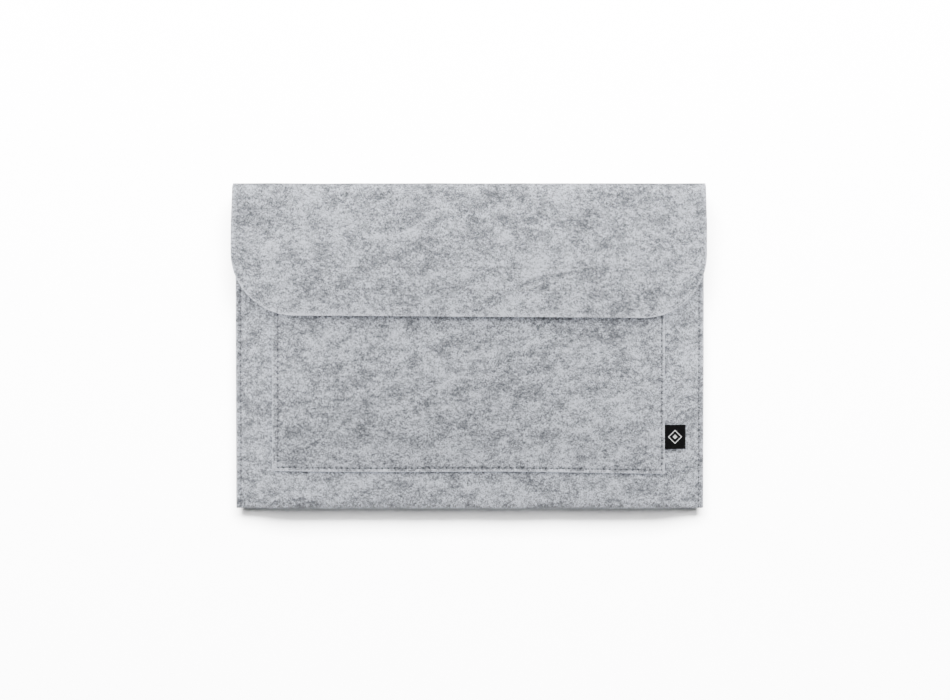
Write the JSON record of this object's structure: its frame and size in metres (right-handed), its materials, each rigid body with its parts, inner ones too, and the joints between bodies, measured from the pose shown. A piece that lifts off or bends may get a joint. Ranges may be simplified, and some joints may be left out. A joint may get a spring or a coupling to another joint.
{
  "type": "laptop sleeve",
  "caption": "Flat felt laptop sleeve with a round-cornered flap over its mouth, a stitched front pocket, a hook and loop tape closure and a side tab label.",
  "frame": {"origin": "under the middle of the closed sleeve, on the outer face of its back panel, which it lies on", "axes": "+X across the sleeve towards the label, +Y from the bottom fold to the top fold, +Z from the back panel to the flap"},
  "size_m": [0.382, 0.262, 0.0318],
  "materials": {
    "felt": "pressed mottled wool felt",
    "thread": "twisted polyester sewing thread",
    "loop_tape": "brushed nylon loops on a woven tape",
    "hook_tape": "nylon hooks on a woven tape",
    "label": "fine woven satin ribbon"
  },
  "bodies": {
    "sleeve": {"sleeve_body": "felt", "pocket_panel": "felt", "loop_tape": "loop_tape", "label_root": "label", "left_seam_needle_thread": "thread", "left_seam_bobbin_thread": "thread", "right_seam_needle_thread": "thread", "right_seam_bobbin_thread": "thread", "pocket_seam_needle_thread": "thread", "pocket_seam_bobbin_thread": "thread", "loop_tape_needle_thread": "thread", "loop_tape_bobbin_thread": "thread"},
    "spine": {"top_fold": "felt"},
    "flap": {"flap_panel": "felt", "hook_tape": "hook_tape", "hook_tape_needle_thread": "thread", "hook_tape_bobbin_thread": "thread"},
    "label": {"label_tab": "label"}
  },
  "joints": [
    {"name": "spine_fold", "type": "hinge", "parent": "sleeve", "child": "spine", "pos_m": [0, 0.1295, 0.0015], "axis": [-1, 0, 0], "range_deg": [0, 90]},
    {"name": "flap_fold", "type": "hinge", "parent": "spine", "child": "flap", "pos_m": [0, 0.1295, 0.0302], "axis": [-1, 0, 0], "range_deg": [0, 90]},
    {"name": "label_lift", "type": "hinge", "parent": "sleeve", "child": "label", "pos_m": [0.1586, -0.07275, 0.019], "axis": [0, -1, 0], "range_deg": [0, 85]}
  ]
}
